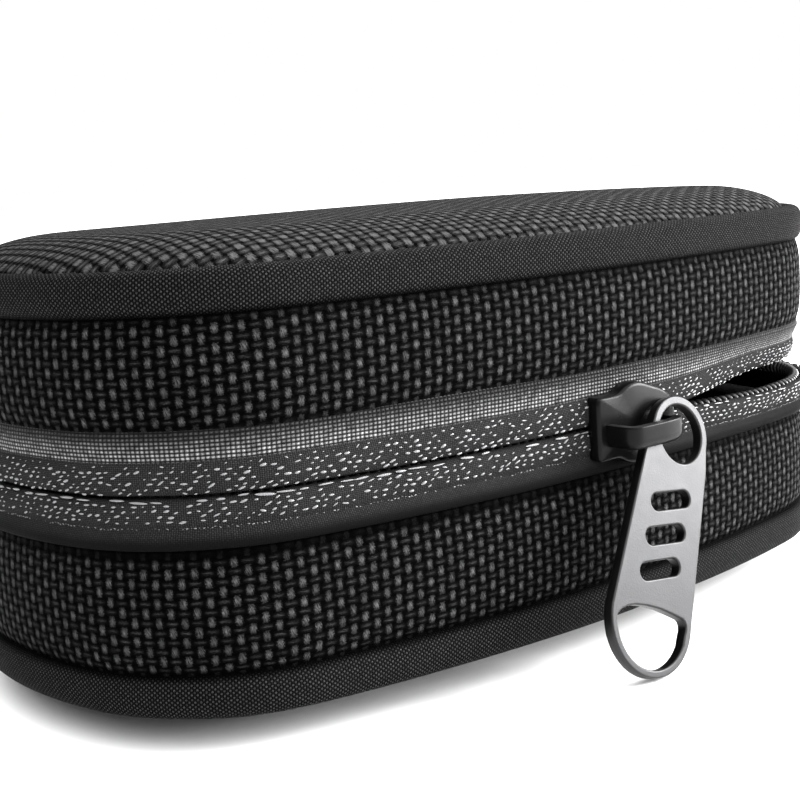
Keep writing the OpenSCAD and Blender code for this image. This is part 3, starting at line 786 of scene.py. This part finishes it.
plate_outline = open_curve([
    (-6.7, -3.7), (-6.7, -1.0), (-6.7, 1.0), (-6.7, 3.7), (-6.0, 3.75), (-4.2, 3.72), (-3.0, 3.85), (-1.9, 4.5),
    (-0.6, 4.85), (0.8, 4.75), (2.6, 4.1), (4.6, 3.4), (6.3, 2.3), (6.9, 0.6), (6.9, -0.6), (6.3, -2.3),
    (4.6, -3.4), (2.6, -4.1), (0.8, -4.75), (-0.6, -4.85), (-1.9, -4.5), (-3.0, -3.85), (-4.2, -3.72),
    (-6.0, -3.75)][::-1], 2)


def casting(name, outline, levels, finish):
    """Closed plate: the outline repeated at each (out, inset) level, shrunk towards its middle by the inset,
    with both faces closed by a quad strip in to a ring shrunk almost to the middle and one n-gon there."""
    middle = np.array([0.0, 0.0])
    away = outline - middle
    size = np.linalg.norm(away, axis=1)[:, None]
    rings = [front_points(*(middle + away * (1 - inset / size)).T, out) for out, inset in levels]
    n = len(outline)
    first = front_points(*(middle + away * 0.02).T, levels[0][0])
    last = front_points(*(middle + away * 0.02).T, levels[-1][0])
    rings = np.stack([first] + rings + [last], 1)
    quads, _, _ = grid_quads(n, rings.shape[1], True, False)
    m = rings.shape[1]
    points = rings.reshape(-1, 3)
    mesh = bpy.data.meshes.new(name)
    caps = [[i * m for i in range(n)][::-1], [i * m + m - 1 for i in range(n)]]
    mesh.from_pydata((points * MM).tolist(), [], quads.tolist() + caps)
    mesh.polygons.foreach_set("use_smooth", np.ones(len(mesh.polygons), dtype=bool))
    mesh.materials.append(finish)
    piece = bpy.data.objects.new(name, mesh)
    bpy.context.scene.collection.objects.link(piece)
    return piece


slider_plate = casting("slider_outer_plate", plate_outline, [
    (-0.25, 0.1), (-0.2, 0.0), (0.6, 0.0), (1.15, 0.0), (1.35, 0.08), (1.5, 0.26), (1.55, 0.5)], black_lacquer)
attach(slider_plate, "slider")
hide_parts("slider_body")
inner_plate = casting("slider_inner_plate", plate_outline * 0.94, [
    (-4.4, 0.5), (-4.35, 0.2), (-4.2, 0.0), (-3.5, 0.0), (-3.4, 0.1)], black_lacquer)
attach(inner_plate, "slider")
post_outline = np.array([(3.2, -0.22), (6.2, -0.22), (6.2, 0.22), (3.2, 0.22)])
post_outline = rounded(post_outline, 2) - [4.7, 0]


def slider_post():
    """Flat post: the small outline repeated from the inner plate out to the outer one."""
    outs = np.array([-3.6, -2.0, 0.0, 0.9])
    rings = np.stack([front_points(post_outline[:, 0] + 4.7, post_outline[:, 1], o) for o in outs], 1)
    n, m = rings.shape[:2]
    quads, _, _ = grid_quads(n, m, True, False)
    mesh = bpy.data.meshes.new("slider_post")
    caps = [[i * m for i in range(n)], [i * m + m - 1 for i in range(n)][::-1]]
    mesh.from_pydata((rings.reshape(-1, 3) * MM).tolist(), [], quads[:, ::-1].tolist() + caps)
    mesh.materials.append(black_lacquer)
    piece = bpy.data.objects.new("slider_post", mesh)
    bpy.context.scene.collection.objects.link(piece)
    return piece


post = slider_post()
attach(post, "slider")

# ---------------------------------------------------------------------------
# Bridge: the strap cast onto the slider that the tab's ring hangs on. It
# rises from the tail, runs along the zip and turns back in through the ring.
# ---------------------------------------------------------------------------
pull_plane, tab_t, pull_along, bridge_end = 3.6, 1.4, 4.3, 3.85
bridge_t, bridge_h, bridge_top = 1.1, 2.7, 0.5
bridge_rise = pull_plane + tab_t / 2 + 0.35 + bridge_t / 2
left_x, right_x = -6.7 + 1.1 + bridge_t / 2, bridge_end - bridge_t / 2


def slider_place(points):
    """Straight slider space (x along, y out from the front's tangent plane, z up) turned to its spot."""
    c, s = math.cos(slider_turn), math.sin(slider_turn)
    x, y = points[..., 0], -half_dep - points[..., 1] - side_cy
    return np.stack([c * x - s * y, s * x + c * y + side_cy, points[..., 2]], -1)


def strap(name, corners, radius, finish):
    """Upright section, a bar with its outer lower edge cut off, carried along a path whose corners are
    rounded by cutting them three times."""
    path = np.array(corners, float)
    for _ in range(3):
        ahead = path[1:]
        cut = np.stack([0.75 * path[:-1] + 0.25 * ahead, 0.25 * path[:-1] + 0.75 * ahead], 1).reshape(-1, 2)
        path = np.concatenate([path[:1], cut, path[-1:]])
    tangent = np.gradient(path, axis=0)
    tangent /= np.linalg.norm(tangent, axis=1)[:, None]
    normal = np.stack([tangent[:, 1], -tangent[:, 0]], 1)
    bar = rounded(np.array([(-0.5, -0.5), (-0.3, -0.5), (-0.05, -0.5), (0.2, -0.42), (0.5, -0.2), (0.5, 0.0),
                            (0.5, 0.38), (0.5, 0.5), (0.3, 0.5), (0.0, 0.5), (-0.3, 0.5), (-0.5, 0.5),
                            (-0.5, 0.3), (-0.5, 0.0), (-0.5, -0.3)]), 1)[1:-1]
    wide, tall = -bar[:, 0] * bridge_t, bar[:, 1] * bridge_h
    xy = path[:, None] + wide[None, :, None] * normal[:, None]
    z = zip_z + bridge_top - bridge_h / 2 + np.repeat(tall[None], len(path), 0)
    ring = slider_place(np.concatenate([xy, z[..., None]], 2))
    quads, _, _ = grid_quads(len(path), 28, False, True)
    mesh = bpy.data.meshes.new(name)
    top = (len(path) - 1) * 28
    caps = [list(range(28))[::-1], list(range(top, top + 28))]
    mesh.from_pydata((ring.reshape(-1, 3) * MM).tolist(), [], quads.tolist() + caps)
    mesh.polygons.foreach_set("use_smooth", np.ones(len(mesh.polygons), dtype=bool))
    mesh.materials.append(finish)
    piece = bpy.data.objects.new(name, mesh)
    bpy.context.scene.collection.objects.link(piece)
    return piece


bridge = strap("slider_bridge_strap", [
    (left_x, 0.9), (left_x, bridge_rise - 0.9), (left_x + 0.5, bridge_rise - 0.15), (left_x + 1.8, bridge_rise),
    (0.0, bridge_rise + 0.1), (right_x - 1.6, bridge_rise), (right_x - 0.3, bridge_rise - 0.25),
    (right_x, bridge_rise - 1.2), (right_x, 0.9)], 0.3, black_lacquer)
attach(bridge, "slider")
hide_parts("slider_bridge")

# ---------------------------------------------------------------------------
# Pull tab: a flat stamping with a ring at the top, three plain slots and a
# rounded opening in its wide end, plated satin gunmetal with rounded edges.
# ---------------------------------------------------------------------------
gunmetal = lacquer("gunmetal_plate", (0.036, 0.036, 0.037), 0.40, 1.0, 0.014 * MM, 5200.0)
ring_r, ring_hole_r, tab_half_w, tab_reach, tab_eye_r = 4.6, 3.55, 6.45, 22.8, 5.55
tab_swing, tab_lean = math.radians(32), math.radians(15)
pull_z = (tab_reach * math.cos(tab_swing) * math.cos(tab_lean) + tab_half_w * math.cos(tab_lean)
          + tab_t / 2 * math.sin(tab_lean) + 0.05)


def arc_points(cx, cy, r, start, end, n):
    """Points of an arc, angles in degrees."""
    t = np.radians(np.linspace(start, end, n))
    return np.stack([cx + r * np.cos(t), cy + r * np.sin(t)], 1)


def tab_outlines():
    """Outer outline anticlockwise, then ring hole, end opening and three slots clockwise, ring at 0, 0."""
    outer = np.concatenate([arc_points(0, 0, ring_r, 0, 180, 48), [(-5.15, -3.0)],
                            arc_points(0, -tab_reach, tab_half_w, 180, 360, 56), [(5.15, -3.0)]])
    ring_hole = arc_points(0, 0, ring_hole_r, 360, 0, 49)[:-1]
    brow = np.array([(0.976, -0.1), (0.99, 0.11), (0.965, 0.19), (0.92, 0.25), (0.85, 0.285), (0.5, 0.29), (0.18, 0.285),
                     (-0.2, 0.235), (-0.52, 0.155), (-0.72, 0.07), (-0.87, -0.04), (-0.95, -0.14)]) * tab_eye_r
    eye = np.concatenate([arc_points(0, 0, tab_eye_r, 192.5, 347.5, 40), brow])[::-1] - [0, tab_reach]
    tilt = math.radians(25)
    turn = np.array([[math.cos(tilt), -math.sin(tilt)], [math.sin(tilt), math.cos(tilt)]])
    slot = np.concatenate([arc_points(2.3, 0, 1.0, 90, -90, 14), arc_points(-2.3, 0, 1.0, 270, 90, 14)])
    return [outer, ring_hole, eye] + [slot @ turn.T - [0, 8.4 + 4.2 * k] for k in range(3)]


def stamped(name, loops, thick, edge, finish):
    """Flat plate with holes. Each outline is carried through the thickness with its two edges rounded over
    a quarter circle of radius edge, moved into the metal by edge (1 - sin); both faces are filled flat."""
    turn = np.linspace(0, 0.5 * np.pi, 5)
    inset = np.concatenate([edge * (1 - np.sin(turn)), edge * (1 - np.sin(turn[::-1]))])
    level = np.concatenate([edge * (1 - np.cos(turn)) - thick / 2, thick / 2 - edge * (1 - np.cos(turn[::-1]))])
    m = len(level)
    points, quads, low_face, high_face, start = [], [], [], [], 0
    for loop in loops:
        ahead = np.roll(loop, -1, 0) - np.roll(loop, 1, 0)
        ahead /= np.linalg.norm(ahead, axis=1)[:, None]
        inward = np.stack([-ahead[:, 1], ahead[:, 0]], 1)
        ring = loop[:, None] + inward[:, None] * inset[None, :, None]
        points.append(np.concatenate([ring, np.repeat(level[None, :, None], len(loop), 0)], 2).reshape(-1, 3))
        quads.append(grid_quads(len(loop), m, True, False)[0] + start)
        low_face.append(start + m * np.arange(len(loop)))
        high_face.append(start + m * np.arange(len(loop)) + m - 1)
        start += len(loop) * m
    points, quads = np.concatenate(points), np.concatenate(quads)
    faces = quads.tolist()
    smooth = [True] * len(faces)
    for rims, up in ((low_face, False), (high_face, True)):
        flat = np.concatenate(rims)
        fill = np.array(tessellate_polygon([[Vector(p) for p in points[rim].tolist()] for rim in rims]))
        corners = points[flat][fill]
        turned = np.cross(corners[:, 1] - corners[:, 0], corners[:, 2] - corners[:, 0])[:, 2]
        fill = fill[np.abs(turned) > 1e-9]
        turned = turned[np.abs(turned) > 1e-9]
        fill = np.where(((turned > 0) == up)[:, None], fill, fill[:, ::-1])
        faces += flat[fill].tolist()
        smooth += [False] * len(fill)
    x, y, z = points.T
    xs = x * math.cos(tab_swing) + y * math.sin(tab_swing)
    up = -x * math.sin(tab_swing) + y * math.cos(tab_swing)
    out = z * math.cos(tab_lean) - up * math.sin(tab_lean)
    rise = z * math.sin(tab_lean) + up * math.cos(tab_lean)
    placed = slider_place(np.stack([pull_along + xs, pull_plane + out, pull_z + rise], 1))
    mesh = bpy.data.meshes.new(name)
    mesh.from_pydata((placed * MM).tolist(), [], faces)
    mesh.polygons.foreach_set("use_smooth", smooth)
    mesh.materials.append(finish)
    piece = bpy.data.objects.new(name, mesh)
    bpy.context.scene.collection.objects.link(piece)
    return piece


tab = stamped("pull_tab_stamping", tab_outlines(), tab_t, 0.22, gunmetal)
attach(tab, "pull")
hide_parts("pull_tab")

# ---------------------------------------------------------------------------
# Linings: brushed knit over the foam of each half, turned over the wall's
# edge behind the zip, with a floor over the board. One body per half.
# ---------------------------------------------------------------------------


def brushed(name, pile, low, high):
    """Short brushed pile: fine clumps of fibre over broader, softer wear, the same in every direction."""
    finish = bpy.data.materials.new(name)
    finish.use_nodes = True
    tree = finish.node_tree
    shader = tree.nodes["Principled BSDF"]
    space = cloth_coords(tree, "Object")[2]
    clumps, wear = speckle(tree, space, 1.0 / pile, 4.0), speckle(tree, space, 90.0, 2.0)
    shade = calc(tree, "ADD", calc(tree, "MULTIPLY", clumps, 0.75), calc(tree, "MULTIPLY", wear, 0.25))
    tree.links.new(tinted(tree, shade, (low,) * 3, (high,) * 3), shader.inputs["Base Color"])
    tree.links.new(raised(tree, clumps, 0.18 * MM), shader.inputs["Normal"])
    shader.inputs["Roughness"].default_value = 0.9
    shader.inputs["Specular IOR Level"].default_value = 0.05
    shader.inputs["Sheen Weight"].default_value = 0.05
    return finish


lining_knit = brushed("lining_knit", 0.42 * MM, 0.001, 0.055)
lining_path = [(60.0, 6.95), (30.0, 6.95), (14.0, 6.95), (7.0, 6.95), (5.0, 7.2), (4.3, 8.0), (4.15, 10.0),
               (4.15, 14.0), (4.15, 18.0), (4.1, 20.6), (3.7, 21.6), (3.0, 21.95), (2.2, 21.9), (1.75, 21.4),
               (1.7, 18.0), (1.7, 12.0), (1.9, 8.0), (2.6, 5.4), (8.0, 5.3), (30.0, 5.3), (60.0, 5.3)]
base_lining = dish("base_lining", lining_path[::-1], lining_knit, columns=360)
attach(base_lining, "base")
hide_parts("base_bottom_lining", "base_wall_lining", "base_wall_foam")
lid_path = [(i, 2 * zip_z - z - 0.6) for i, z in lining_path]
lid_lining = dish("lid_lining", lid_path, lining_knit, columns=360)
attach(lid_lining, "lid")
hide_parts("lid_top_lining", "lid_wall_lining", "lid_wall_foam")

# ---------------------------------------------------------------------------
# Inner seam bindings: narrow tape folded over the seam where wall and panel
# meet inside each half.
# ---------------------------------------------------------------------------
seam_fold = np.array([(-6.2, 0.3), (-5.4, 0.0), (-4.4, 0.0), (-4.3, 1.2), (-4.4, 2.3), (-5.1, 2.4), (-5.9, 1.7)])
base_seam = carry_round("base_inner_seam", rounded(seam_fold + [0, 7.1]), binding_cloth, columns=480)
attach(base_seam, "base")
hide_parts("base_inner_binding")
lid_seam = carry_round("lid_inner_seam", rounded((seam_fold * [1, -1])[::-1] + [0, 46.7]), binding_cloth,
                       columns=480)
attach(lid_seam, "lid")
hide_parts("lid_inner_binding")

# ---------------------------------------------------------------------------
# Zip end tabs: short folded cloth tabs sewn over the two ends of the zip.
# ---------------------------------------------------------------------------
tab_fold = rounded([(0.3, 21.9), (0.75, 22.0), (0.95, 23.0), (0.95, 25.6), (0.7, 26.6), (0.3, 26.7),
                    (0.1, 24.5)])
for k, start in enumerate((29.0, girth - 35.0)):
    end_tab = carry_round(f"zip_end_tab_{k + 1}", tab_fold, binding_cloth, columns=24, span=(start, start + 6.0))
    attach(end_tab, "base")
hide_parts("zip_end_tabs")

# ---------------------------------------------------------------------------
# Hinge: the wall's own nylon carried across the back from base to lid, with
# a knit lining behind it.
# ---------------------------------------------------------------------------
hinge_line = (0.0, (half_dep - 0.2) * MM)


def hinge_sheet(name, outer, thick, low, high, reach, finish):
    """Thin closed sheet across the back: s from -reach to reach, height from low to high, two faces
    thick apart; the ends of the grid are folded together."""
    s = np.linspace(-reach, reach, 121)
    z = np.linspace(low, high, 61)
    loop_z = np.concatenate([z, z[::-1]])
    loop_out = np.concatenate([np.full(61, outer), np.full(61, outer - thick)])
    centre, radius, outward = around(np.mod(s, girth))
    xy = centre[:, None] + (radius[:, None, None] + loop_out[None, :, None]) * outward[:, None]
    points = np.concatenate([xy, np.repeat(loop_z[None, :, None], len(s), 0)], 2).reshape(-1, 3)
    m = len(loop_z)
    quads, i, j = grid_quads(len(s), m, False, True)
    near, far = np.arange(60), np.arange(60)
    ends = []
    for row, flip in ((0, True), (len(s) - 1, False)):
        cap = np.stack([near, near + 1, m - 2 - far, m - 1 - far], 1) + row * m
        ends.append(cap if flip else cap[:, ::-1])
    caps = np.concatenate(ends)
    step = np.abs(np.diff(np.append(loop_z, loop_z[0])))
    across = np.concatenate([[0.0], np.cumsum(step)]) + low
    u = np.stack([s[i], s[i + 1], s[i + 1], s[i]], 1)
    v = np.stack([across[j], across[j], across[j + 1], across[j + 1]], 1)
    uvs = np.concatenate([np.stack([u, v], 2).reshape(-1, 2) * MM, np.zeros((caps.size, 2))])
    return add_piece(name, points, np.concatenate([quads, caps]), uvs, finish)


hinge_cloth = hinge_sheet("hinge_cloth", -0.15, 0.7, 21.6, 34.0, 28.0, wall_cloth)
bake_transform(hinge_cloth)
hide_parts("hinge_strip")
hinge_knit = hinge_sheet("hinge_inner_cloth", -3.7, 0.45, 20.5, 33.6, 27.6, lining_knit)
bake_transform(hinge_knit)
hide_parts("hinge_lining")

# ---------------------------------------------------------------------------
# Net pocket: an open knitted net across the back part of the lid, with an
# elastic band along its free edge.
# ---------------------------------------------------------------------------
pocket_edge, pocket_z = -9.0, 43.7
band_cloth = ribbed("band_cloth", 0.9 * MM, 0.5 * MM, 0.10 * MM, 0.008, 0.03, 0.5)


def inside_y(x, inset, back):
    """y of the inset outline at each x, on the back or front side, read off the sampled outline."""
    s = np.linspace(0, girth, 2000, endpoint=False)
    xy = plan_points(s, np.full((2000, 1), -inset))[:, 0]
    half = xy[xy[:, 1] > 0] if back else xy[xy[:, 1] < 0]
    order = np.argsort(half[:, 0])
    return np.interp(x, half[order, 0], half[order, 1])


def lid_sheet(name, low_y, high_y, z, thick, sag, nx, ny, inset, finish):
    """Closed thin sheet in the lid from y = low to high (functions of x), hanging by sag in its middle."""
    reach = 54.0
    t = np.linspace(-1, 1, nx)
    x = reach * np.sin(0.5 * np.pi * t)
    lo, hi = low_y(x), high_y(x)
    v = np.linspace(0, 1, ny)
    y = lo[:, None] + (hi - lo)[:, None] * v[None]
    hang = z - sag * (1 - (x[:, None] / reach) ** 2) * (1 - v[None] ** 2)
    top = np.stack([np.repeat(x[:, None], ny, 1), y, hang + thick], 2)
    low = np.stack([np.repeat(x[:, None], ny, 1), y, hang], 2)
    loop = np.concatenate([low, top[:, ::-1]], 1)
    m = 2 * ny
    quads, _, _ = grid_quads(nx, m, False, True)
    near = np.arange(ny - 1)
    ends = []
    for row, flip in ((0, True), (nx - 1, False)):
        cap = np.stack([near, near + 1, m - 2 - near, m - 1 - near], 1) + row * m
        ends.append(cap if flip else cap[:, ::-1])
    return add_piece(name, loop.reshape(-1, 3), np.concatenate([quads] + ends)[:, ::-1], None, finish)


def netting(name, mesh_size):
    """Open net: round holes in staggered rows, cut out by transparency, with thread between them."""
    finish = bpy.data.materials.new(name)
    finish.use_nodes = True
    tree = finish.node_tree
    shader = tree.nodes["Principled BSDF"]
    x, y, space = cloth_coords(tree, "Object")
    u = calc(tree, "DIVIDE", x, mesh_size)
    row = calc(tree, "DIVIDE", y, mesh_size * 0.866)
    stagger = calc(tree, "MULTIPLY", calc(tree, "FLOORED_MODULO", calc(tree, "FLOOR", row), 2.0), 0.5)
    u = calc(tree, "ADD", u, stagger)
    fu = calc(tree, "SUBTRACT", calc(tree, "FRACT", u), 0.5)
    fv = calc(tree, "MULTIPLY", calc(tree, "SUBTRACT", calc(tree, "FRACT", row), 0.5), 0.9)
    far = calc(tree, "SQRT", calc(tree, "ADD", calc(tree, "MULTIPLY", fu, fu), calc(tree, "MULTIPLY", fv, fv)))
    cord = calc(tree, "GREATER_THAN", far, 0.33)
    tree.links.new(cord, shader.inputs["Alpha"])
    tree.links.new(raised(tree, far, 0.1 * MM), shader.inputs["Normal"])
    tree.links.new(tinted(tree, far, (0.01,) * 3, (0.04,) * 3), shader.inputs["Base Color"])
    shader.inputs["Roughness"].default_value = 0.6
    return finish


net_cloth = netting("pocket_netting", 1.5 * MM)
net = lid_sheet("pocket_net", lambda x: np.maximum(pocket_edge, inside_y(x, 5.6, False)),
                lambda x: np.maximum(inside_y(x, 5.6, True), pocket_edge + 1), pocket_z + 0.1, 0.25, 0.5,
                121, 41, 5.6, net_cloth)
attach(net, "lid")
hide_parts("mesh_pocket")
band = lid_sheet("pocket_elastic_band", lambda x: np.maximum(pocket_edge, inside_y(x, 5.6, False)),
                 lambda x: np.maximum(pocket_edge, inside_y(x, 5.6, False)) + 5.0, pocket_z - 1.2, 1.0, 0.5,
                 121, 9, 5.6, band_cloth)
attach(band, "lid")
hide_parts("pocket_elastic")
